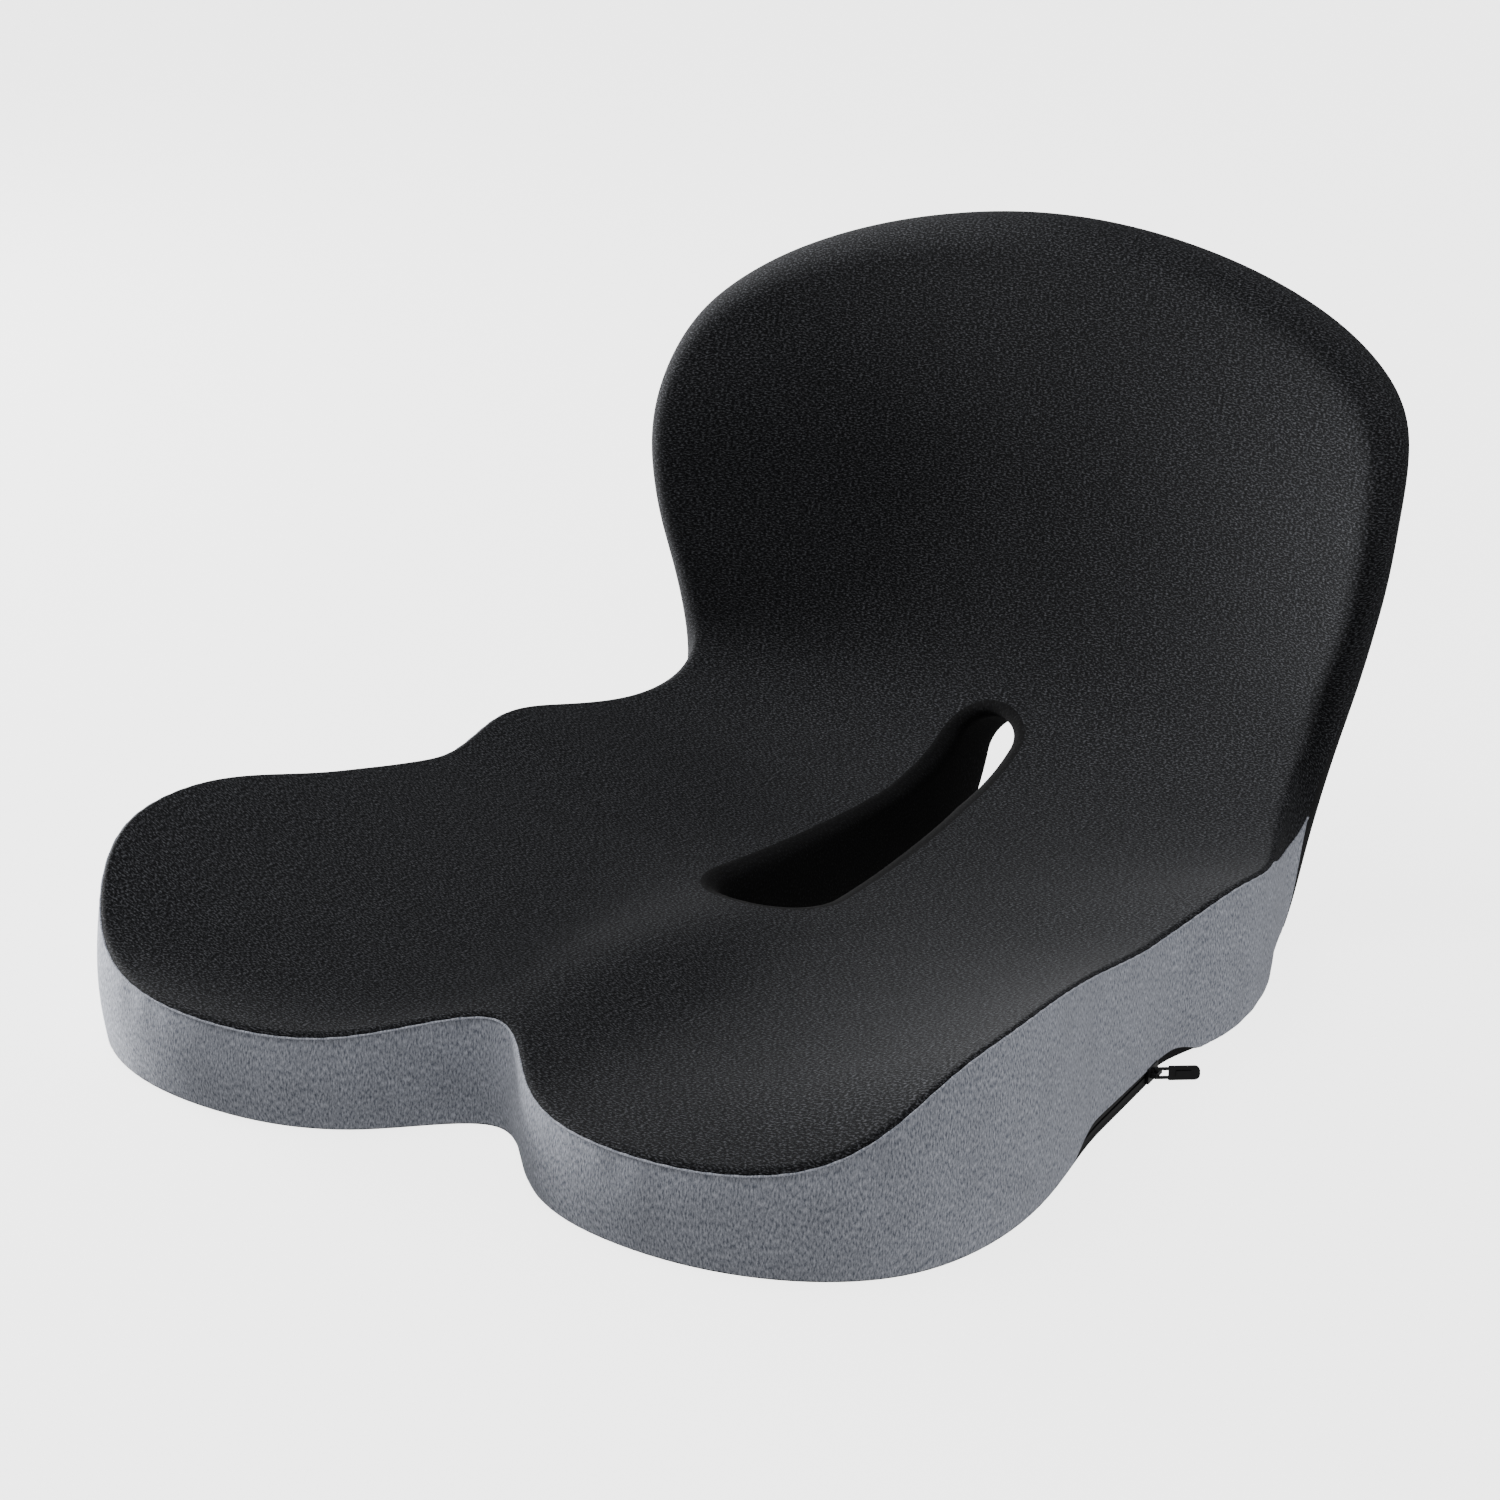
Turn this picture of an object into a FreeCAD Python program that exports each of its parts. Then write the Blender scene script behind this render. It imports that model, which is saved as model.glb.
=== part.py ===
import FreeCAD, Part
import math
import os

# A one-piece seat and back cushion: a contoured foam core in a thin knit liner, inside a
# sewn cover with a zip.  Millimetres; +X is the sitter's left, -Y the front edge, +Z up; the
# origin is under the middle of the cushion, on the surface that it lies on.

V = FreeCAD.Vector

# ---- driving dimensions --------------------------------------------------------------
COVER = 2.0               # cover fabric, a knit laminated on thin wadding
LINER_OUT = 2.4           # depth of the liner's outer face below the cover's outer face
LINER_IN = 3.2            # depth of the liner's inner face
FOAM = 3.6                # depth of the foam's face
RIM_REACH = 212.0         # half width at which a section's full rim rise is reached
RIM_POWER = 2.4           # how late the rim rises from the middle
RIDGE_WIDTH = 40.0        # half width of the raised ridge between the thighs
PATCH_HALF = 236.0        # half width of the contour patches before trimming
FOAM_JOINT_Z = 96.0       # glue line between the seat foam and the back foam
REAR_X = 178.0            # half width of the cushion where the back starts
REAR_Y = 157.0            # where the back's side walls take over from the seat's
BACK_REACH = 264.0        # just behind the rearmost point of the back

# Upper face: y, z on the centre line, lean of its normal (0 up, 90 forward), rim rise, ridge
UPPER = [
    (-288, 40, 0, 0, 4), (-250, 42, 0, 9, 8), (-214, 42, 0, 32, 9), (-175, 42, 0, 40, 10),
    (-130, 42, 0, 40.5, 11), (-85, 42, 0, 36, 8), (-40, 41.5, 0, 30, 4), (5, 41, 0, 27, 0),
    (50, 40.5, 0, 32, 0), (90, 42, 0, 26, 0), (124, 45.5, 8, 20, 0), (152, 52, 22, 19, 0),
    (172, 61.5, 42, 23, 0), (187, 76, 60, 31, 0), (197, 97, 75, 41, 0), (204, 125, 84, 48, 0),
    (210, 160, 88, 49, 0), (215, 200, 90, 46, 0), (220, 240, 90, 32, 0),
    (223.5, 280, 90, 22, 0), (225.5, 322, 90, 20, 0),
]
# Rear face of the back and its lower corner: y, z on the centre line, wrap of the wings
REAR = [
    (138, -34, 40), (170, -10, 45), (199, 14, 48), (218, 45, 51), (230, 82, 51),
    (240, 120, 50), (247, 160, 49), (252, 200, 46), (257, 240, 32), (260.5, 280, 22),
    (262, 322, 20),
]
# Right half of the plan outline, from the front notch round to the side of the back
ZIP_A = V(208.8, -74, 0)  # the zip's straight stretch at the waist runs from A to B
ZIP_B = V(199.6, -4, 0)
ZIP_RUN = [ZIP_A + (ZIP_B - ZIP_A) * (k / 4) for k in range(5)]
PLAN = [(0, -210), (43, -243), (101, -265), (167, -256), (210, -223), (224, -176), (219, -121)]
PLAN += [(p.x, p.y) for p in ZIP_RUN]
PLAN += [(204, 48), (195, 105), (REAR_X, REAR_Y)]
# Right half of the back's outline seen from the front, from the seat up to the middle
BACK = [
    (REAR_X, 58), (195, 128), (206.4, 198), (197, 241), (172, 265.5), (128, 287), (68, 303),
    (0, 309.4),
]
# Coccyx slot: a tapered opening, upright in the seat and slanted through the root of the back
SLOT_FRONT = (-3.0, 27.0)         # y of its front round and that round's radius
SLOT_MID = (150.0, 16.0)          # where the upright part ends
SLOT_TIP = V(0, 184.6, 69.7)      # highest point of the opening
SLOT_TIP_R = 14.0
SLOT_TILT = 30.0                  # slope of the slanted part, degrees below level
SLOT_DROP = 50.0                  # height of the slanted part's straight sides

# Zip: heights of its bands above the lying surface, and the slider and pull
ZIP_TOP = 10.0                    # lower edge of the side wall above the zip
ZIP_TAPE = 0.8
COIL_UPPER = (5.6, 7.4)
COIL_LOWER = (2.6, 4.4)
COIL_DEPTH = 1.4
SLIDER_L = 11.0
SLIDER_Z = (1.6, 8.4)
SLIDER_END_GAP = 11.0             # slider centre to the end of the straight stretch
PIN_R = 0.6
PIN_CLEAR = 0.08
PIN_OUT = 2.9                     # hinge pin's distance out from the wall
PULL_L = 19.0
PULL_ANGLE = 60.0                 # the pull stands this far out from the tape at rest
ZIP_Z = 5.0
ZIP_ROOM = ((-6, 2), 14)          # room behind the zip: out from the wall, and height

DOT_R = 3.0                       # silicone grip dots
DOT_T = 0.5
DOT_PITCH = 34.0
DOT_ROWS = (-232.0, 165.0)        # y of the first row, and where the rows stop
DOT_EDGE = 14.0                   # least distance of a dot from the outline
DOT_SLOT = 10.0                   # least distance of a dot from the slot
FAR = 700.0


# ---- contour surfaces ---------------------------------------------------------------
def rim(x):
    """Share of the rim rise reached at a distance x from the middle."""
    return (abs(x) / RIM_REACH) ** RIM_POWER


def ridge(x):
    return math.exp(-((x / RIDGE_WIDTH) ** 2))


def upper_point(x, row):
    y, z, lean, rise, crest = row
    rise = rise * rim(x) + crest * ridge(x)
    lean = math.radians(lean)
    return V(x, y - rise * math.sin(lean), z + rise * math.cos(lean))


def rear_point(x, row):
    y, z, wrap = row
    return V(x, y - wrap * rim(x), z)


def stations():
    """Sections across the cushion, closer together over the ridge."""
    half = [0, 18, 38, 62, 92, 124, 156, 186, 212, PATCH_HALF]
    return [-x for x in reversed(half[1:])] + half


def patch(point, rows, depth):
    """A smooth face through the sections, moved in by depth along its normals."""
    xs = stations()
    grid = [[point(x, row) for row in rows] for x in xs]
    last_i, last_j = len(xs) - 1, len(rows) - 1
    moved = []
    for i in range(last_i + 1):
        line = []
        for j in range(last_j + 1):
            across = grid[min(i + 1, last_i)][j] - grid[max(i - 1, 0)][j]
            along = grid[i][min(j + 1, last_j)] - grid[i][max(j - 1, 0)]
            normal = across.cross(along)
            normal.normalize()
            line.append(grid[i][j] - normal * depth)
        moved.append(line)
    surface = Part.BSplineSurface()
    surface.interpolate(moved)
    return surface.toShape()


INWARD = V(0, 1, -1)
INWARD.normalize()


def above_upper(depth):
    """All the space over the seat and in front of the back."""
    return patch(upper_point, UPPER, depth).extrude(INWARD * -FAR)


def behind_rear(depth):
    """All the space behind and under the root of the back."""
    return patch(rear_point, REAR, -depth).extrude(INWARD * FAR)


# ---- outlines -----------------------------------------------------------------------
def inset_points(points, depth):
    """Outline points moved in by depth, square to the smooth curve through them."""
    curve = Part.BSplineCurve()
    curve.interpolate(points)
    moved = []
    for point in points:
        tangent = curve.tangent(curve.parameter(point))[0]
        moved.append(point + V(-tangent.y, tangent.x, 0) * depth)
    return moved


def mirrored(half):
    """A whole outline, right end to left end, from the half that starts at the middle."""
    return [V(-x, y, 0) for x, y in reversed(half[1:])] + [V(x, y, 0) for x, y in half]


def plan_face(depth):
    points = inset_points(mirrored(PLAN), depth)
    points[0] = V(-REAR_X + depth, REAR_Y, 0)
    points[-1] = V(REAR_X - depth, REAR_Y, 0)
    curve = Part.BSplineCurve()
    curve.interpolate(points)
    closing = Part.LineSegment(points[-1], points[0]).toShape()
    return Part.Face(Part.Wire([curve.toShape(), closing]))


def seat_prism(depth, floor=None):
    floor = depth if floor is None else floor
    solid = plan_face(depth).extrude(V(0, 0, 130))
    solid.translate(V(0, 0, floor))
    return solid


def back_face(depth):
    half = [(x, z) for x, z in reversed(BACK)]
    points = list(reversed(mirrored(half)))
    points = inset_points(points, depth)
    points[0] = V(REAR_X - depth, BACK[0][1], 0)
    points[-1] = V(-REAR_X + depth, BACK[0][1], 0)
    curve = Part.BSplineCurve()
    curve.interpolate(points)
    corners = [points[-1], V(points[-1].x, depth, 0), V(points[0].x, depth, 0), points[0]]
    edges = [Part.LineSegment(a, b).toShape() for a, b in zip(corners, corners[1:])]
    return Part.Face(Part.Wire([curve.toShape()] + edges))


def back_prism(depth, start=REAR_Y):
    length = BACK_REACH - start
    solid = back_face(depth).extrude(V(0, 0, length))
    solid.rotate(V(0, 0, 0), V(1, 0, 0), 90)
    solid.translate(V(0, start + length, 0))
    return solid


# ---- coccyx slot --------------------------------------------------------------------
def tapered_face(a, ra, b, rb):
    """Hull of two circles in the XY plane, their centres at y = a and y = b."""
    slope = math.asin((ra - rb) / (b - a))
    c, s = math.cos(slope), math.sin(slope)
    p1, p2 = V(ra * c, a + ra * s, 0), V(rb * c, b + rb * s, 0)
    p3, p4 = V(-rb * c, b + rb * s, 0), V(-ra * c, a + ra * s, 0)
    edges = [
        Part.LineSegment(p1, p2).toShape(),
        Part.Arc(p2, V(0, b + rb, 0), p3).toShape(),
        Part.LineSegment(p3, p4).toShape(),
        Part.Arc(p4, V(0, a - ra, 0), p1).toShape(),
    ]
    return Part.Face(Part.Wire(edges))


def slot_cutter(grow):
    upright = tapered_face(SLOT_FRONT[0], SLOT_FRONT[1] + grow, SLOT_MID[0], SLOT_MID[1] + grow)
    upright = upright.extrude(V(0, 0, 140))
    upright.translate(V(0, 0, -20))
    radius = SLOT_TIP_R + grow
    slanted = tapered_face(-SLOT_DROP, radius + 1, 0, radius).extrude(V(0, 0, 190))
    slanted.translate(V(0, -SLOT_TIP_R, -110))
    slanted.rotate(V(0, 0, 0), V(1, 0, 0), 90 - SLOT_TILT)
    slanted.translate(SLOT_TIP)
    return upright.fuse(slanted)


def body(depth):
    """The whole cushion, each face moved in by depth."""
    block = seat_prism(depth).fuse(back_prism(depth))
    block = block.cut(above_upper(depth))
    block = block.cut(behind_rear(depth))
    return block.cut(slot_cutter(depth)).removeSplitter()


# ---- zip ----------------------------------------------------------------------------
ALONG = ZIP_B - ZIP_A
ALONG.normalize()
OUT = V(ALONG.y, -ALONG.x, 0)
SLIDER_AT = ZIP_B - ALONG * SLIDER_END_GAP


def zip_box(origin, along, out, up):
    """A box beside the zip: ranges along the tape, out from the wall, and up."""
    solid = Part.makeBox(along[1] - along[0], out[1] - out[0], up[1] - up[0])
    solid.translate(V(along[0], -out[1], up[0]))
    solid.rotate(V(0, 0, 0), V(0, 0, 1), math.degrees(math.atan2(ALONG.y, ALONG.x)))
    solid.translate(origin)
    return solid


def half_space(low, high):
    """A box from corner to corner."""
    solid = Part.makeBox(high.x - low.x, high.y - low.y, high.z - low.z)
    solid.translate(low)
    return solid


def wall_band(outer, inner, low, high, rear_limit):
    """A band that follows the side wall, between two depths and two heights."""
    ring = seat_prism(outer, 0).cut(seat_prism(inner, -1))
    box = Part.makeBox(2 * FAR, FAR + rear_limit, high - low)
    box.translate(V(-FAR, -FAR, low))
    return ring.common(box)


def zip_end():
    """How far back the coils reach."""
    return ZIP_B.y - 5.0


def side_wall():
    """The wall from the lying surface, or from the zip, up to the upper face."""
    ring = seat_prism(0, 0).cut(seat_prism(COVER, -1))
    ring = ring.cut(half_space(V(-FAR, -FAR, -2), V(FAR, ZIP_B.y, ZIP_TOP)))
    return ring.cut(above_upper(0))


def zipper_slider():
    half = SLIDER_L / 2
    z0, z1 = SLIDER_Z
    middle = (COIL_LOWER[1] + 0.35, COIL_UPPER[0] - 0.35)
    outer = zip_box(SLIDER_AT, (-half, half), (0.7, 1.7), SLIDER_Z)
    inner = zip_box(SLIDER_AT, (-half, half), (-3.2, -2.2), SLIDER_Z)
    post = zip_box(SLIDER_AT, (half - 3.4, half - 0.6), (-2.4, 0.9), middle)
    flange_low = zip_box(SLIDER_AT, (-half, half), (0.2, 0.9), (z0, z0 + 0.8))
    flange_high = zip_box(SLIDER_AT, (-half, half), (0.2, 0.9), (z1 - 0.8, z1))
    bridge = zip_box(SLIDER_AT, (-3.6, 3.6), (1.5, 4.4), (ZIP_Z - 1, ZIP_Z + 1))
    pin_at = SLIDER_AT + OUT * PIN_OUT
    bore = Part.makeCylinder(PIN_R + PIN_CLEAR, 12, pin_at - V(0, 0, 1))
    solid = outer.fuse([inner, post, flange_low, flange_high, bridge])
    return solid.cut(bore).removeSplitter()


def zipper_pull():
    """A tab with two arms and a pin, built lying along the tape and then swung out."""
    pin_at = SLIDER_AT + OUT * PIN_OUT
    centre = OUT * -PIN_OUT
    pin = Part.makeCylinder(PIN_R, 4.8, V(0, 0, ZIP_Z - 2.4))
    arms = []
    for low in (ZIP_Z - 2.6, ZIP_Z + 1.5):
        arms.append(zip_box(centre, (-PIN_R, 6.2), (PIN_OUT - PIN_R, PIN_OUT + PIN_R),
                            (low, low + 1.1)))
    tab = zip_box(centre, (5.4, PULL_L), (PIN_OUT - PIN_R, PIN_OUT + PIN_R),
                  (ZIP_Z - 3.2, ZIP_Z + 3.2))
    rib = zip_box(centre, (8.5, PULL_L - 4), (PIN_OUT - PIN_R - 0.5, PIN_OUT + PIN_R + 0.5),
                  (ZIP_Z - 1.3, ZIP_Z + 1.3))
    upright = [e for e in tab.Edges if e.BoundBox.ZLength < 0.1 and e.Length < 1.3]
    tab = tab.makeFillet(2.4, [e for e in upright if e.CenterOfMass.Length > 12])
    pull = pin.fuse(arms + [tab, rib])
    pull.rotate(V(0, 0, 0), V(0, 0, 1), -PULL_ANGLE)
    pull.translate(pin_at)
    return pull.removeSplitter()


def end_stop():
    """A crimped stop across both coils, just past the slider."""
    return zip_box(ZIP_B, (-4.4, -2.2), (-1.3, 0.5), (COIL_LOWER[0], COIL_UPPER[1]))


# ---- small trim ---------------------------------------------------------------------
def grip_dots():
    dots = []
    row = 0
    y = DOT_ROWS[0]
    while y < DOT_ROWS[1]:
        shift = DOT_PITCH / 2 if row % 2 else 0
        for k in range(-7, 8):
            x = k * DOT_PITCH + shift
            disc = Part.makeCylinder(DOT_R, DOT_T, V(x, y, 0))
            dots.append(disc)
        row += 1
        y += DOT_PITCH * 0.86
    inside = plan_face(DOT_EDGE).extrude(V(0, 0, 1))
    hole = slot_cutter(DOT_SLOT)
    kept = []
    for dot in dots:
        whole = abs(inside.common(dot).Volume - dot.Volume) < 1e-3
        if whole and hole.common(dot).Volume < 1e-3:
            kept.append(dot)
    return kept


def save(name, shape):
    solids = shape.Solids
    shape = solids[0] if len(solids) == 1 else Part.Compound(solids)
    print(name, len(solids), shape.isValid(), round(shape.Volume))
    shape.exportStep("parts/%s.step" % name)


def inner_block(depth):
    """The trimmed outline block inside the side walls."""
    return seat_prism(depth, -1).fuse(back_prism(depth))


def top_panel():
    """The sheet over the seat and the back's front, with the band round the back's edge."""
    slab = above_upper(COVER).cut(above_upper(0))
    sheet = slab.common(inner_block(COVER)).cut(slot_cutter(COVER))
    band = back_prism(0).cut(back_prism(COVER, REAR_Y - 2))
    band = band.cut(above_upper(0)).cut(behind_rear(0))
    band = band.cut(half_space(V(-FAR, -FAR, -5), V(FAR, FAR, COVER)))
    return sheet.fuse(band)


def back_panel():
    """The sheet over the rear of the back, down to the bottom panel."""
    slab = behind_rear(COVER).cut(behind_rear(0))
    sheet = slab.common(back_prism(COVER, REAR_Y - 40))
    sheet = sheet.cut(half_space(V(-FAR, -FAR, -5), V(FAR, FAR, COVER)))
    return sheet.cut(slot_cutter(COVER))


def bottom_panel():
    """The flat sheet that lies on the chair, with pockets for the grip dots."""
    sheet = inner_block(COVER).common(half_space(V(-FAR, -FAR, 0), V(FAR, FAR, COVER)))
    sheet = sheet.cut(behind_rear(0)).cut(slot_cutter(COVER))
    slider_path = zip_box(ZIP_B, (-64, 4), ZIP_ROOM[0], (-1, ZIP_ROOM[1]))
    return sheet.cut(slider_path).cut(Part.Compound(grip_dots()))


def slot_lining():
    ring = slot_cutter(COVER).cut(slot_cutter(0))
    ring = ring.cut(above_upper(0)).cut(behind_rear(0))
    return ring.common(half_space(V(-100, -100, 0), V(100, 300, 200)))


def main():
    os.makedirs("parts", exist_ok=True)
    groove = zip_box(ZIP_B, (-75, 8), ZIP_ROOM[0], (0, ZIP_ROOM[1]))
    below = half_space(V(-FAR, -FAR, -50), V(FAR, FAR, FOAM_JOINT_Z))
    foam = body(FOAM).cut(groove)
    save("seat_foam", foam.common(below))
    save("back_foam", foam.cut(below))
    save("inner_liner", body(LINER_OUT).cut(body(LINER_IN)).cut(groove))

    left = half_space(V(-FAR, -FAR, -5), V(0, FAR, 200))
    gusset = side_wall()
    save("gusset_left", gusset.common(left))
    save("gusset_right", gusset.cut(left))
    save("top_panel", top_panel())
    save("slot_lining", slot_lining())
    save("bottom_panel", bottom_panel())
    save("back_panel", back_panel())
    save("grip_dots", Part.Compound(grip_dots()))

    end = zip_end()
    tape = (0.2, 0.2 + ZIP_TAPE)
    save("zipper_tape_upper", wall_band(*tape, COIL_UPPER[1], ZIP_TOP, ZIP_B.y))
    save("zipper_tape_lower", wall_band(*tape, 0, COIL_LOWER[0], ZIP_B.y))
    save("zipper_coil_upper", wall_band(0, COIL_DEPTH, COIL_UPPER[0], COIL_UPPER[1], end))
    save("zipper_coil_lower", wall_band(0, COIL_DEPTH, COIL_LOWER[0], COIL_LOWER[1], end))
    save("zipper_top_stop", end_stop())
    save("zipper_bottom_stop", end_stop().mirror(V(0, 0, 0), V(1, 0, 0)))
    save("zipper_slider", zipper_slider())
    save("zipper_pull", zipper_pull())


main()
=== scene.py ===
import bpy
import numpy as np
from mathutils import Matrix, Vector


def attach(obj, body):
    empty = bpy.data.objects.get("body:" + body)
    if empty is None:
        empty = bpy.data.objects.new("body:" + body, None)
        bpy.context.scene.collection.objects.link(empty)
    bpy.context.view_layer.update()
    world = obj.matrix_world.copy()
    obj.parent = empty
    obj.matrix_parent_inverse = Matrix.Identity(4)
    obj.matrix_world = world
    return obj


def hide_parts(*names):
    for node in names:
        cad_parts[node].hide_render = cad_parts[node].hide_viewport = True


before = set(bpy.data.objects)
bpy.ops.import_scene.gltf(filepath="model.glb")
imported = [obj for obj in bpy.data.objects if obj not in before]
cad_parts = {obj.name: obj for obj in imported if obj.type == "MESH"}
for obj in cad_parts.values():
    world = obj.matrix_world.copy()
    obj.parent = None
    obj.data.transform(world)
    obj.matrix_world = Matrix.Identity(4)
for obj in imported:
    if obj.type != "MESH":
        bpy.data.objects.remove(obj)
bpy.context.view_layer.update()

# Looks of the contoured seat and back cushion.  The sewn cover is rebuilt as fine grids close
# to the contours of the CAD model.  The rear of the back's wings lies up to 5 mm further
# forward than in the CAD.  Lengths in the tables are millimetres.
MM = 0.001

# ---- driving dimensions --------------------------------------------------------------
RIM_REACH = 212.0        # half width at which a section's full rim rise is reached
RIM_POWER = 2.4          # how late the rise comes towards the rim
RIDGE_WIDTH = 40.0       # the middle ridge has fallen to about a third at this distance
# Upper face: y, z on the centre line, lean of its normal, rim rise, ridge height
UPPER = [
    (-288, 40, 0, 0, 4), (-250, 42, 0, 9, 8), (-214, 42, 0, 32, 9), (-175, 42, 0, 40, 10),
    (-130, 42, 0, 40.5, 11), (-85, 42, 0, 36, 8), (-40, 41.5, 0, 30, 4), (5, 41, 0, 27, 0),
    (50, 40.5, 0, 32, 0), (90, 42, 0, 26, 0), (124, 45.5, 8, 20, 0), (152, 52, 22, 19, 0),
    (172, 61.5, 42, 23, 0), (187, 76, 60, 31, 0), (197, 97, 75, 41, 0), (204, 125, 84, 48, 0),
    (210, 160, 88, 49, 0), (215, 200, 90, 46, 0), (220, 240, 90, 32, 0),
    (223.5, 280, 90, 22, 0), (225.5, 322, 90, 20, 0),
]
# Lower and rear face: y, z on the centre line, wrap of the wings
LOWER = [
    (-300, 0, 0), (-200, 0, 0), (-100, 0, 0), (0, 0, 0), (80, 0, 20), (130, 0, 36),
    (160, 0, 38), (186, 6, 38), (205, 24, 46), (219, 50, 51), (230, 82, 51), (240, 120, 50),
    (247, 160, 54), (252, 200, 51), (257, 240, 36), (260.5, 280, 24), (262, 322, 20),
]
ZIP_A = (208.8, -74.0)   # the zip's straight stretch at the waist
ZIP_B = (199.6, -4.0)
# Right half of the edge: (x, y) round the seat, then (x, z) up the back
SEAT_EDGE = [(0, -210), (43, -243), (101, -265), (167, -256), (210, -223), (224, -176),
             (219, -121)]
SEAT_EDGE += [tuple(np.array(ZIP_A) + (np.array(ZIP_B) - ZIP_A) * k / 4) for k in range(5)]
SEAT_EDGE += [(204, 48), (195, 105), (178, 157)]
CORNER_UPPER, CORNER_LOWER = (181, 92), (179, 46)    # (x, z) where the back's edge starts
BACK_EDGE = [(195, 128), (206.4, 198), (197, 241), (172, 265.5), (128, 287), (68, 303),
             (0, 309.4)]
HEM_ROUND = 0.5          # the side wall turns under the seat almost square
SEAT_ROUND, BACK_ROUND = 4.0, 17.0      # edge rounding of the seat and of the back
SLOT_FRONT_Y, SLOT_FRONT_R = -3.0, 27.0               # the slot's round front end
SLOT_TIP_R, SLOT_TIP_R_LOWER = 14.0, 20.0             # its rear end on each face
SLOT_ROUND, SLOT_ROUND_LOWER = 9.0, 3.0               # rounding of its lip on each face
SLOT_WAIST_R, SLOT_WAIST_AT = 16.5, 0.72              # its narrow part, as a share of its length
SLOT_TIP_UPPER, SLOT_TIP_LOWER = 69.7, 58.0           # z of the slot's rear end on each face
SEAM_Z = ((-300, 400), (92, 400), (100, 60.5), (140, 59.2), (171.5, 58))  # top seam at the rear
SEAM_TURN_Y = 108.0      # from here the top seam climbs to the tip of the side wall
REAR_SEAM = ((157, 0), (171.5, 58))                   # the side wall's rear seam, (y, z)
TOP_SEAM_V = 0.06        # the top seam round the seat, as a share of the way across the strip
CLIMB_POWER = 1.2        # how the top seam runs on to the tip of the side wall
HEM_V, ZIP_HEM_V = 0.995, 0.82      # the side wall's hem, round the seat and over the zip
CORNER_V = 0.08          # the share of the strip that each rounded corner takes
WALL_BULGE, BULGE_POWER = 2.2, 0.8  # the side wall's swell
PUCKER, SWAY = 0.16, 0.35             # heights of the cloth's waves
PUCKER_AT, SWAY_FADE = 4.0, 14.0      # distances from a seam: highest pucker, full sway
HEM_PUCKER, HEM_SHIFT = 0.6, 9.0      # the hem's puckers are lower, and out of step
SEAM_ROLL_R = 0.55       # the fold of cloth along the top seam
STITCH_SWELL, STITCH_TURN = 0.22, 2.1         # its swelling between the stitches
ZIP_RECESS = 3.2         # the cover is drawn in behind the zip by this much
RECESS_RAMP = 7          # how soon it is drawn in fully from either side
BEFORE_ZIP, AFTER_ZIP = 6, 12       # the points of SEAT_EDGE next to the zip's stretch
ZIP_BLEND = 45.0         # length over which the hem is lifted at each end of the zip
BACK_SEAM_V = 0.72       # where the back's seam lies, as a share of the way round its edge
BACK_SEAM_RUN = 110.0    # length over which the seam reaches that place

AROUND = 330             # grid steps round half of the edge
ACROSS = 84              # grid steps from the slot to the edge
STRIP_SAMPLES = 241      # samples across the strip, before the seams divide it
RIM_STEPS, WALL_STEPS, UNDER_STEPS, LINING_STEPS = 14, 40, 16, 12
MIRROR = np.array([-1, 1, 1])       # from the right half to the left half


# ---- small numeric tools -------------------------------------------------------------
def spline(knots, values, at):
    """Natural cubic spline through the values at the knots."""
    t, v = np.asarray(knots, float), np.asarray(values, float)
    at = np.asarray(at, float)
    n, h = len(t), np.diff(t)
    lhs, rhs = np.eye(n), np.zeros_like(v)
    for i in range(1, n - 1):
        lhs[i, i - 1:i + 2] = h[i - 1], 2 * (h[i - 1] + h[i]), h[i]
        rhs[i] = 6 * ((v[i + 1] - v[i]) / h[i] - (v[i] - v[i - 1]) / h[i - 1])
    m = np.linalg.solve(lhs, rhs)
    k = np.clip(np.searchsorted(t, at) - 1, 0, n - 2)
    a = ((t[k + 1] - at) / h[k])[..., None]
    b = 1 - a
    bend = ((a ** 3 - a) * m[k] + (b ** 3 - b) * m[k + 1]) * (h[k] ** 2)[..., None] / 6
    return a * v[k] + b * v[k + 1] + bend


def smooth(x):
    """From 0 to 1 with soft ends."""
    x = np.clip(x, 0, 1)
    return x * x * (3 - 2 * x)


def unit(v):
    """Vectors of length one."""
    return v / np.maximum(np.linalg.norm(v, axis=-1, keepdims=True), 1e-9)


def chord(points):
    """Length along a row of points, from 0."""
    steps = np.linalg.norm(np.diff(np.asarray(points, float), axis=0), axis=1)
    return np.concatenate([[0], np.cumsum(steps)])


def across(grid):
    """Length along each row of a [round, across, 3] grid, from 0."""
    steps = np.linalg.norm(np.diff(grid, axis=1), axis=2)
    return np.concatenate([np.zeros((len(grid), 1)), np.cumsum(steps, axis=1)], 1)


def rim(x):
    """Share of the rim's rise at a distance x from the middle."""
    return (np.abs(x) / RIM_REACH) ** RIM_POWER


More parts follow.
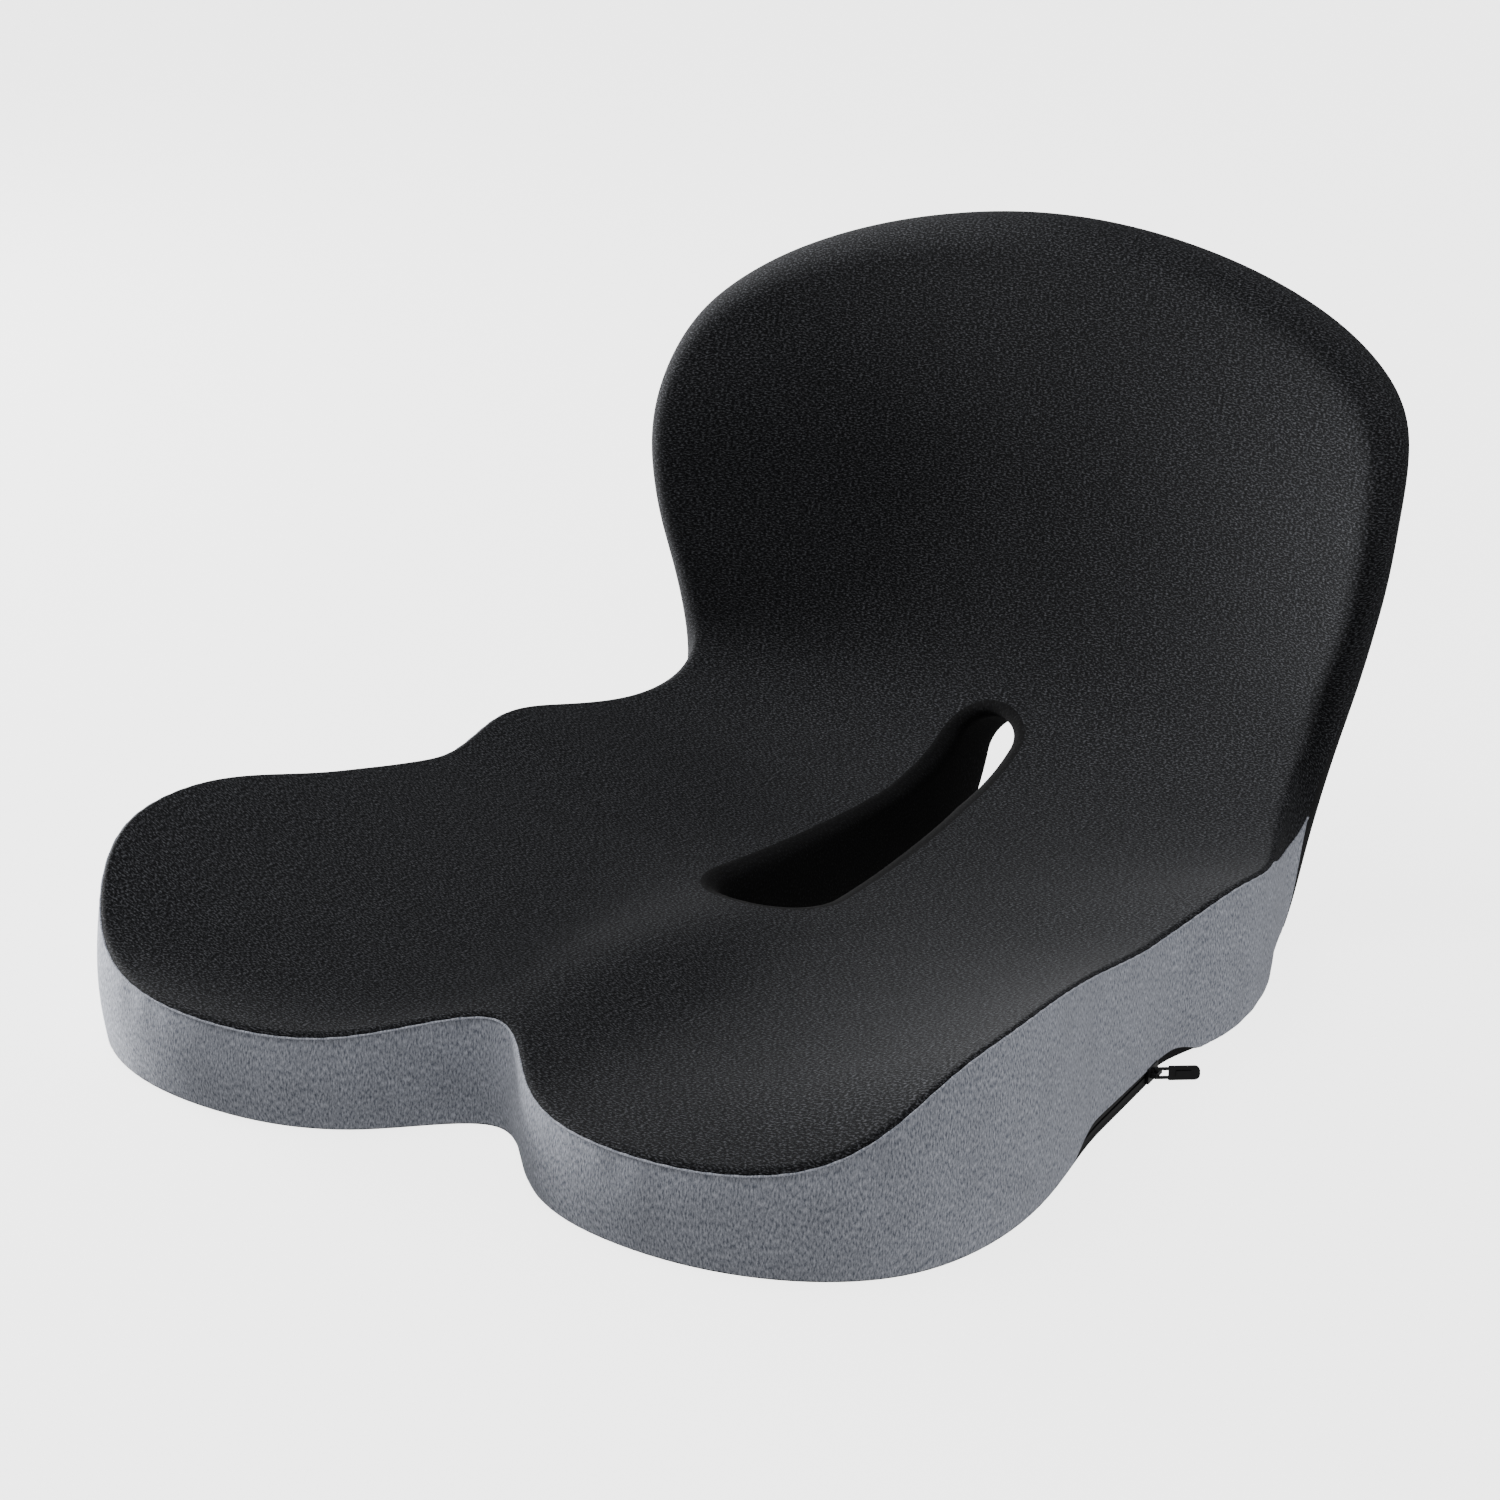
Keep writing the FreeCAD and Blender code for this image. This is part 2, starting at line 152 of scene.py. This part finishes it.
class Face:
    """A contoured face of the cushion: a point for each x and distance s along the middle."""

    def __init__(self, rows):
        self.rows = np.array(rows, float)
        self.s = chord(self.rows[:, :2])

    def point(self, x, s):
        """Points in mm; rows of three are the lower face, rows of five the upper."""
        x, s = np.broadcast_arrays(np.asarray(x, float), np.asarray(s, float))
        row = spline(self.s, self.rows, s)
        if row.shape[-1] == 3:
            return np.stack([x, row[..., 0] - row[..., 2] * rim(x),
                             np.maximum(row[..., 1], 0)], -1)
        rise = row[..., 3] * rim(x) + row[..., 4] * np.exp(-((x / RIDGE_WIDTH) ** 2))
        lean = np.radians(row[..., 2])
        return np.stack([x, row[..., 0] - rise * np.sin(lean),
                         row[..., 1] + rise * np.cos(lean)], -1)

    def find(self, x, value, axis, first=0):
        """The s at which the face reaches a y (axis 1) or a z (axis 2)."""
        s = np.arange(self.s[first], self.s[-1], 0.5)
        return np.interp(value, self.point(x, s)[:, axis], s)


TOP, BASE = Face(UPPER), Face(LOWER)
TOP_BEND, BASE_BEND = 8, 5       # rows from which z grows steadily


# ---- edge, slot and the strip between them -------------------------------------------
def edge_loop(face, corner, bend, knots=None):
    """The edge in the face's (x, s) plane, right half from the notch to the top."""
    points = [(x, face.find(x, y, 1)) for x, y in SEAT_EDGE]
    points += [(x, face.find(x, z, 2, bend)) for x, z in [corner] + BACK_EDGE]
    points = np.array(points)
    if knots is None:
        knots = chord(points)
    flip = np.array([-1, 1])
    before, after = points[3:0:-1] * flip, points[-2:-5:-1] * flip
    all_points = np.concatenate([before, points, after])
    all_knots = np.concatenate([-knots[3:0:-1], knots, 2 * knots[-1] - knots[-2:-5:-1]])
    at = np.linspace(0, knots[-1], AROUND + 1)
    return knots, at, spline(all_knots, all_points, at)


def outward(loop):
    """Unit normals of a half loop in its own plane, pointing out."""
    tangent = np.gradient(loop, axis=0)
    tangent[0] = (1, 0)
    tangent[-1] = (-1, 0)
    return unit(np.stack([tangent[:, 1], -tangent[:, 0]], -1))


def level_outward(loop):
    """The same normals as [round, 1, 3] vectors without height."""
    return np.concatenate([outward(loop), np.zeros((len(loop), 1))], 1)[:, None]


def slot_loop(loop, s_front, s_tip, tip_radius, grow):
    """The slot's outline opposite each point of the edge."""
    front, tip = np.array([0, s_front]), np.array([0, s_tip - tip_radius])
    r_front, r_tip = SLOT_FRONT_R + grow, tip_radius + grow
    share = np.clip((loop[:, 1] - front[1]) / (tip[1] - front[1]), 0, 1)
    centre = front + (tip - front) * share[:, None]
    narrow = min(SLOT_WAIST_R + grow, r_tip)
    radius = np.interp(share, (0, SLOT_WAIST_AT, 1), (r_front, narrow, r_tip))
    return centre + unit(loop - centre) * radius[:, None]


def bezier(a, b, c, u):
    """A rounded corner from a to c, drawn towards b."""
    return a * (1 - u) ** 2 + 2 * b * u * (1 - u) + c * u ** 2


KNOTS, T, LOOP = edge_loop(TOP, CORNER_UPPER, TOP_BEND)
_, _, LOOP_LOW = edge_loop(BASE, CORNER_LOWER, BASE_BEND, KNOTS)
SEAT_END, BACK_START = len(SEAT_EDGE) - 2, len(SEAT_EDGE) + 1
TO_BACK = smooth((T - KNOTS[SEAT_END]) / (KNOTS[BACK_START] - KNOTS[SEAT_END]))
AT_ZIP = smooth((T - KNOTS[BEFORE_ZIP]) / ZIP_BLEND)
AT_ZIP = AT_ZIP * smooth((KNOTS[AFTER_ZIP] - T) / ZIP_BLEND)
ROUND = SEAT_ROUND + (BACK_ROUND - SEAT_ROUND) * TO_BACK
INNER = LOOP - outward(LOOP) * ROUND[:, None]
INNER_LOW = LOOP_LOW - outward(LOOP_LOW) * ROUND[:, None]


def edge_section():
    """Points of the strip round the edge: [step round the edge, step across the strip]."""
    v = np.linspace(0, 1, STRIP_SAMPLES)[None, :, None]
    p, k = TOP.point(*INNER.T)[:, None], TOP.point(*LOOP.T)[:, None]
    k2, q = BASE.point(*LOOP_LOW.T)[:, None], BASE.point(*INNER_LOW.T)[:, None]
    down = unit(k2 - k)
    m1, m2 = k + down * SEAT_ROUND, k2 - down * HEM_ROUND
    out = (k - p + k2 - q) / 2
    u = (v - CORNER_V) / (1 - 2 * CORNER_V)
    flat_out = unit(out * np.array([1, 1, 0]))
    swell = np.sin(np.pi * np.clip(u, 0, 1)) ** BULGE_POWER
    wall = m1 + (m2 - m1) * u + flat_out * WALL_BULGE * swell
    wall = np.where(v < CORNER_V, bezier(p, k, m1, v / CORNER_V), wall)
    wall = np.where(v > 1 - CORNER_V, bezier(m2, k2, q, (v - 1 + CORNER_V) / CORNER_V), wall)
    middle, half = (p + q) / 2, (p - q) / 2
    tube = middle + half * np.cos(np.pi * v) + out * np.sin(np.pi * v)
    w = TO_BACK[:, None, None]
    return wall * (1 - w) + tube * w


def seam_shares(section):
    """Where the top seam and the lower or rear seam cross the strip at each step."""
    v = np.linspace(0, 1, section.shape[1])
    y, z = section[..., 1], section[..., 2]
    seam_y, seam_z = zip(*SEAM_Z)
    below = z <= np.interp(y, seam_y, seam_z)
    first = int(np.argmax(y[:, 0] > SEAM_TURN_Y))
    (y0, z0), (y1, z1) = REAR_SEAM
    behind = y >= y0 + (y1 - y0) * (z - z0) / (z1 - z0)
    top = np.where(below.any(1), v[below.argmax(1)], 1.0)
    low = np.where(behind.any(1), v[behind.argmax(1)], 1.0)
    top = np.clip(top, TOP_SEAM_V, 1)
    low = np.minimum(low, HEM_V - (HEM_V - ZIP_HEM_V) * AT_ZIP)
    tip = int(np.argmax(top >= low))
    v_tip = low[tip]
    rise = np.clip((T - T[first]) / (T[tip] - T[first]), 0, 1)
    climb = TOP_SEAM_V + (v_tip - TOP_SEAM_V) * rise ** CLIMB_POWER
    top[:tip + 1] = climb[:tip + 1]
    ramp = v_tip + (BACK_SEAM_V - v_tip) * smooth((T - T[tip]) / BACK_SEAM_RUN)
    top[tip:], low[tip:] = ramp[tip:], ramp[tip:]
    return top, low, tip


def strip(section, start, end, steps):
    """The part of the strip between two shares, resampled: [round, across]."""
    last = section.shape[1] - 1
    share = start[:, None] + (end - start)[:, None] * np.linspace(0, 1, steps + 1)[None, :]
    at = share * last
    k = np.clip(at.astype(int), 0, last - 1)
    f = (at - k)[..., None]
    i = np.arange(len(section))[:, None]
    return section[i, k] * (1 - f) + section[i, k + 1] * f


# ---- mesh building --------------------------------------------------------------------
def whole(half):
    """The right half of a grid or of its UVs and its mirror image, as one closed ring."""
    left = half[-2:0:-1] * MIRROR[:half.shape[-1]]
    return np.concatenate([half, left])


def grid_mesh(name, grid, uv, closed, flip=False):
    """A quad mesh from [round, across, 3] points in mm, with a UV map in metres."""
    n, m = grid.shape[:2]
    index = np.arange(n * m).reshape(n, m)
    nxt = np.roll(index, -1, axis=0) if closed else index[1:]
    cur = index if closed else index[:-1]
    quads = np.stack([cur[:, :-1], nxt[:, :-1], nxt[:, 1:], cur[:, 1:]], -1).reshape(-1, 4)
    if flip:
        quads = quads[:, ::-1]
    mesh = bpy.data.meshes.new(name)
    mesh.from_pydata((grid.reshape(-1, 3) * MM).tolist(), [], quads.tolist())
    layer = mesh.uv_layers.new(name="cloth")
    layer.data.foreach_set("uv", (uv.reshape(-1, 2) * MM)[quads.reshape(-1)].ravel())
    mesh.polygons.foreach_set("use_smooth", [True] * len(mesh.polygons))
    obj = bpy.data.objects.new(name, mesh)
    bpy.context.collection.objects.link(obj)
    return obj


def roll_mesh(name, path, radius, sides=8):
    """A thin sewn roll along a path of points in mm."""
    along = unit(np.gradient(path, axis=0))
    side = unit(np.cross(along, (0.0, 0.0, 1.0)))
    lift = np.cross(side, along)
    turn = np.linspace(0, 2 * np.pi, sides + 1)[None, :, None]
    ring = side[:, None] * np.cos(turn) + lift[:, None] * np.sin(turn)
    swell = np.sin(np.arange(len(path)) * STITCH_TURN)
    bead = radius * (1 + STITCH_SWELL * swell)[:, None, None]
    run = np.repeat(chord(path)[:, None], sides + 1, 1)
    around = np.repeat(turn[..., 0] * radius, len(path), 0)
    return grid_mesh(name, path[:, None] + ring * bead, np.stack([run, around], -1), False)


def panel(face, inner, start, rim_strip, uv_out):
    """Grid of a face from the slot to the edge, with the strip beyond the edge."""
    r = np.linspace(0, 1, ACROSS + 1)[None, :, None]
    flat = start[:, None] + (inner - start)[:, None] * r
    surface = face.point(flat[..., 0], flat[..., 1])
    lengths = across(rim_strip)[:, 1:]
    beyond = inner[:, None] + uv_out[:, None] * lengths[..., None]
    return np.concatenate([surface, rim_strip[:, 1:]], 1), np.concatenate([flat, beyond], 1)


def pucker(run, dist):
    """Cloth drawn up by a seam: small uneven waves that fade away from it, in mm."""
    waves = np.sin(run / 2.9) + 0.7 * np.sin(run / 4.3 + 1.1) + 0.6 * np.sin(run / 7.7 + 2.3)
    return PUCKER * waves * (dist / PUCKER_AT) * np.exp(1 - dist / PUCKER_AT)


def sway(run, height):
    """Slow unevenness of the side wall's cloth over the foam, in mm."""
    return SWAY * (np.sin(run / 37.0 + height / 23.0) + 0.7 * np.sin(run / 61.0 - height / 31.0))


def slot_outlines():
    """The slot on both faces: where the rounding of its lip starts, and the lip itself."""
    s_front, s_tip = TOP.find(0, SLOT_FRONT_Y, 1), TOP.find(0, SLOT_TIP_UPPER, 2, TOP_BEND)
    start = slot_loop(LOOP, s_front, s_tip, SLOT_TIP_R, SLOT_ROUND)
    lip = slot_loop(LOOP, s_front, s_tip, SLOT_TIP_R, 0)
    s_front = BASE.find(0, SLOT_FRONT_Y, 1)
    s_tip = BASE.find(0, SLOT_TIP_LOWER, 2, BASE_BEND)
    start_low = slot_loop(LOOP_LOW, s_front, s_tip, SLOT_TIP_R_LOWER, SLOT_ROUND_LOWER)
    lip_low = slot_loop(LOOP_LOW, s_front, s_tip, SLOT_TIP_R_LOWER, 0)
    return start, lip, start_low, lip_low


# ---- the sewn pieces ------------------------------------------------------------------
def make_cover_top(section, top, start):
    """The dark knit over the seat, the back's front and the back's rounded edge."""
    edge = strip(section, np.zeros_like(top), top, RIM_STEPS)
    grid, uv = panel(TOP, INNER, start, edge, outward(LOOP))
    return grid_mesh("cover_top", whole(grid), whole(uv), True)


def make_side_walls(section, top, low, tip):
    """The heather walls between the top seam and the hem, puckered by both."""
    wall = strip(section, top, low, WALL_STEPS)[:tip + 1]
    down = across(wall)
    run = np.repeat(chord(wall[:, 0])[:, None], wall.shape[1], 1)
    uv = np.stack([run, down], -1)
    height = down[:, -1:] - down
    relief = pucker(run, down) + pucker(run + HEM_SHIFT, height) * HEM_PUCKER
    relief += sway(run, height) * smooth(down / SWAY_FADE) * smooth(height / SWAY_FADE)
    wall = wall + level_outward(LOOP)[:tip + 1] * relief[..., None]
    right = grid_mesh("side_wall_right", wall, uv, False)
    left = grid_mesh("side_wall_left", wall * MIRROR, uv, False, True)
    return right, left


def make_seam_roll(section, top, tip):
    """The fold of cloth along the top seam, from one wall's tip to the other's."""
    line = strip(section, top, top, 1)[:tip + 1, 0]
    path = np.concatenate([line[:0:-1] * MIRROR, line])
    return roll_mesh("seam_roll", path, SEAM_ROLL_R)


def make_cover_under(section, low, start_low):
    """The base and the back in black cloth, drawn in behind the zip."""
    edge = strip(section, np.ones_like(low), low, UNDER_STEPS)
    share = np.linspace(0, 1, UNDER_STEPS + 1)
    drawn = smooth(np.minimum(share, 1 - share) * RECESS_RAMP)[None, :, None]
    edge = edge - level_outward(LOOP_LOW) * drawn * ZIP_RECESS * AT_ZIP[:, None, None]
    grid, uv = panel(BASE, INNER_LOW, start_low, edge, outward(LOOP_LOW))
    return grid_mesh("cover_under", whole(grid), whole(uv), True, True)


def make_slot_lining(start, lip, start_low, lip_low):
    """The knit tube through the slot, rounded over the lip on both faces."""
    p, k = TOP.point(*start.T)[:, None], TOP.point(*lip.T)[:, None]
    k2, q = BASE.point(*lip_low.T)[:, None], BASE.point(*start_low.T)[:, None]
    through = unit(k2 - k)
    m1, m2 = k + through * SLOT_ROUND, k2 - through * SLOT_ROUND_LOWER
    u = np.linspace(0, 1, LINING_STEPS + 1)[None, :, None]
    rows = [bezier(p, k, m1, u), (m1 + (m2 - m1) * u)[:, 1:], bezier(m2, k2, q, u)[:, 1:]]
    tube = np.concatenate(rows, 1)
    run = np.repeat(chord(tube[:, LINING_STEPS])[:, None], tube.shape[1], 1)
    uv = np.stack([across(tube), run], -1)
    return grid_mesh("slot_lining_cloth", whole(tube), whole(uv), True, True)


# ---- materials ------------------------------------------------------------------------
def new_material(name, rough, sheen=0.0):
    mat = bpy.data.materials.new(name)
    mat.use_nodes = True
    nodes, links = mat.node_tree.nodes, mat.node_tree.links
    shader = nodes["Principled BSDF"]
    shader.inputs["Roughness"].default_value = rough
    shader.inputs["Sheen Weight"].default_value = sheen
    shader.inputs["Sheen Roughness"].default_value = 0.5
    return mat, nodes, links, shader


def knit(name, ground, fleck, spread, rough, sheen, stretch, bump):
    """A melange knit: short light fibres on a darker ground, over a fine stitch relief."""
    mat, nodes, links, shader = new_material(name, rough, sheen)
    shader.inputs["Specular IOR Level"].default_value = 0.2
    coords = nodes.new("ShaderNodeUVMap")
    coords.uv_map = "cloth"
    place = nodes.new("ShaderNodeMapping")
    place.inputs["Scale"].default_value = stretch
    links.new(coords.outputs["UV"], place.inputs["Vector"])
    fine = nodes.new("ShaderNodeTexNoise")
    fine.inputs["Scale"].default_value = 1.0
    fine.inputs["Detail"].default_value = 3.0
    fine.inputs["Roughness"].default_value = 0.65
    links.new(place.outputs["Vector"], fine.inputs["Vector"])
    ramp = nodes.new("ShaderNodeValToRGB")
    ramp.color_ramp.elements[0].position = spread[0]
    ramp.color_ramp.elements[1].position = spread[1]
    ramp.color_ramp.elements[0].color = (*ground, 1)
    ramp.color_ramp.elements[1].color = (*fleck, 1)
    links.new(fine.outputs["Fac"], ramp.inputs["Fac"])
    broad = nodes.new("ShaderNodeTexNoise")
    broad.inputs["Scale"].default_value = 55.0
    broad.inputs["Detail"].default_value = 4.0
    links.new(coords.outputs["UV"], broad.inputs["Vector"])
    tone = nodes.new("ShaderNodeMapRange")
    tone.inputs["To Min"].default_value = 0.82
    tone.inputs["To Max"].default_value = 1.18
    links.new(broad.outputs["Fac"], tone.inputs["Value"])
    mix = nodes.new("ShaderNodeVectorMath")
    mix.operation = "SCALE"
    links.new(ramp.outputs["Color"], mix.inputs[0])
    links.new(tone.outputs["Result"], mix.inputs["Scale"])
    links.new(mix.outputs["Vector"], shader.inputs["Base Color"])
    relief = nodes.new("ShaderNodeBump")
    relief.inputs["Strength"].default_value = bump
    relief.inputs["Distance"].default_value = 0.0005
    links.new(fine.outputs["Fac"], relief.inputs["Height"])
    links.new(relief.outputs["Normal"], shader.inputs["Normal"])
    return mat


def plain(name, colour, rough, metallic=0.0):
    """A smooth plastic, rubber or enamel with a faint grain."""
    mat, nodes, links, shader = new_material(name, rough)
    shader.inputs["Metallic"].default_value = metallic
    grain = nodes.new("ShaderNodeTexNoise")
    grain.inputs["Scale"].default_value = 900.0
    coords = nodes.new("ShaderNodeTexCoord")
    links.new(coords.outputs["Object"], grain.inputs["Vector"])
    ramp = nodes.new("ShaderNodeValToRGB")
    ramp.color_ramp.elements[0].color = (*[c * 0.8 for c in colour], 1)
    ramp.color_ramp.elements[1].color = (*[c * 1.2 for c in colour], 1)
    links.new(grain.outputs["Fac"], ramp.inputs["Fac"])
    links.new(ramp.outputs["Color"], shader.inputs["Base Color"])
    relief = nodes.new("ShaderNodeBump")
    relief.inputs["Strength"].default_value = 0.15
    relief.inputs["Distance"].default_value = 0.0002
    links.new(grain.outputs["Fac"], relief.inputs["Height"])
    links.new(relief.outputs["Normal"], shader.inputs["Normal"])
    return mat


def dress(obj, mat):
    obj.data.materials.clear()
    obj.data.materials.append(mat)


# ---- stage ----------------------------------------------------------------------------
CAMERA_PLACE = (0.87525, -1.27333, 0.65782)           # metres
CAMERA_AIM = (-0.54096, 0.77079, -0.33651)            # direction of view
LENS, SENSOR = 87.14, 36.0
WORLD_STRENGTH, FLOOR_GLOW = 0.36, 3.4


def make_camera():
    data = bpy.data.cameras.new("camera")
    data.lens = LENS
    data.sensor_width = SENSOR
    cam = bpy.data.objects.new("camera", data)
    bpy.context.collection.objects.link(cam)
    cam.location = CAMERA_PLACE
    cam.rotation_euler = Vector(CAMERA_AIM).to_track_quat("-Z", "Y").to_euler()
    bpy.context.scene.camera = cam


def area_light(name, place, target, size, power):
    data = bpy.data.lights.new(name, "AREA")
    data.shape = "RECTANGLE"
    data.size, data.size_y = size
    data.energy = power
    obj = bpy.data.objects.new(name, data)
    bpy.context.collection.objects.link(obj)
    obj.location = place
    aim = Vector(target) - Vector(place)
    obj.rotation_euler = aim.to_track_quat("-Z", "Y").to_euler()


def make_stage():
    """A pale floor and soft studio light.  The floor glows evenly and is hidden from diffuse
    and glossy rays, so it doesn't light the cushion from below."""
    world = bpy.data.worlds.new("studio")
    bpy.context.scene.world = world
    world.use_nodes = True
    world.node_tree.nodes["Background"].inputs["Color"].default_value = (1, 1, 1, 1)
    world.node_tree.nodes["Background"].inputs["Strength"].default_value = WORLD_STRENGTH
    bpy.ops.mesh.primitive_plane_add(size=60, location=(0, 0, -0.0005))
    floor = bpy.context.object
    floor.name = "floor"
    mat, _, _, shader = new_material("pale_floor", 0.9)
    shader.inputs["Base Color"].default_value = (0.5, 0.5, 0.5, 1)
    shader.inputs["Emission Color"].default_value = (1.0, 1.0, 1.0, 1)
    shader.inputs["Emission Strength"].default_value = FLOOR_GLOW
    floor.visible_diffuse = False
    floor.visible_glossy = False
    dress(floor, mat)
    area_light("key_left", (-2.2, -0.02, 0.20), (0, 0, 0.08), (0.8, 0.5), 165)
    area_light("fill_right", (2.1, 0.60, 0.22), (0, 0, 0.08), (0.8, 0.5), 10)
    area_light("top_soft", (-0.5, -0.4, 2.1), (0, 0, 0.1), (1.2, 1.2), 26)


# ---- build ----------------------------------------------------------------------------
make_camera()
make_stage()

DARK = knit("dark_melange_knit", (0.0038, 0.0041, 0.0050), (0.17, 0.175, 0.193), (0.49, 0.84),
            0.94, 0.0, (640, 1500, 1), 0.35)
# Painted shade: the slot lining is the dark knit again, painted far darker so that it stands in
# for the shade inside the slot.
LINING = knit("painted_shade_melange_knit", (0.0020, 0.0020, 0.0024), (0.03, 0.031, 0.034),
              (0.50, 0.84), 0.95, 0.0, (640, 1500, 1), 0.35)
HEATHER = knit("heather_knit", (0.14, 0.156, 0.198), (0.76, 0.78, 0.86), (0.34, 0.76),
               0.92, 0.05, (1300, 430, 1), 0.35)
BLACK = knit("black_base_cloth", (0.0022, 0.0022, 0.0026), (0.016, 0.016, 0.018), (0.4, 0.65),
             0.85, 0.03, (900, 900, 1), 0.5)
SILICONE = plain("silicone", (0.03, 0.03, 0.03), 0.45)
TAPE = plain("zip_tape_weave", (0.004, 0.004, 0.0045), 0.9)
COIL = plain("zip_coil_nylon", (0.004, 0.004, 0.0045), 0.75)
METAL = plain("black_enamel", (0.008, 0.008, 0.009), 0.34, 0.2)

section = edge_section()
top, low, tip = seam_shares(section)
start, lip, start_low, lip_low = slot_outlines()
cover = make_cover_top(section, top, start)
wall_right, wall_left = make_side_walls(section, top, low, tip)
seam = make_seam_roll(section, top, tip)
under = make_cover_under(section, low, start_low)
lining = make_slot_lining(start, lip, start_low, lip_low)
dress(seam, HEATHER)
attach(seam, "cushion")
for piece, mat, name, nodes in (
    (cover, DARK, "dark_knit", ("top_panel", "seat_foam", "back_foam", "inner_liner")),
    (wall_right, HEATHER, "heather_knit", ("gusset_right",)),
    (wall_left, HEATHER, "heather_knit", ("gusset_left",)),
    (under, BLACK, "base_cloth", ("bottom_panel", "back_panel")),
    # the slot lining wears the painted-shade copy of the dark knit
    (lining, LINING, "dark_knit", ("slot_lining",)),
):
    dress(piece, mat)
    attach(piece, "cushion")
    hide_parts(*nodes)

FINISHES = {"grip": SILICONE, "zipper_tape": TAPE, "zipper_coil": COIL}
for node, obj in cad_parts.items():
    if node.startswith(("grip", "zipper")):
        dress(obj, next((m for kind, m in FINISHES.items() if node.startswith(kind)), METAL))
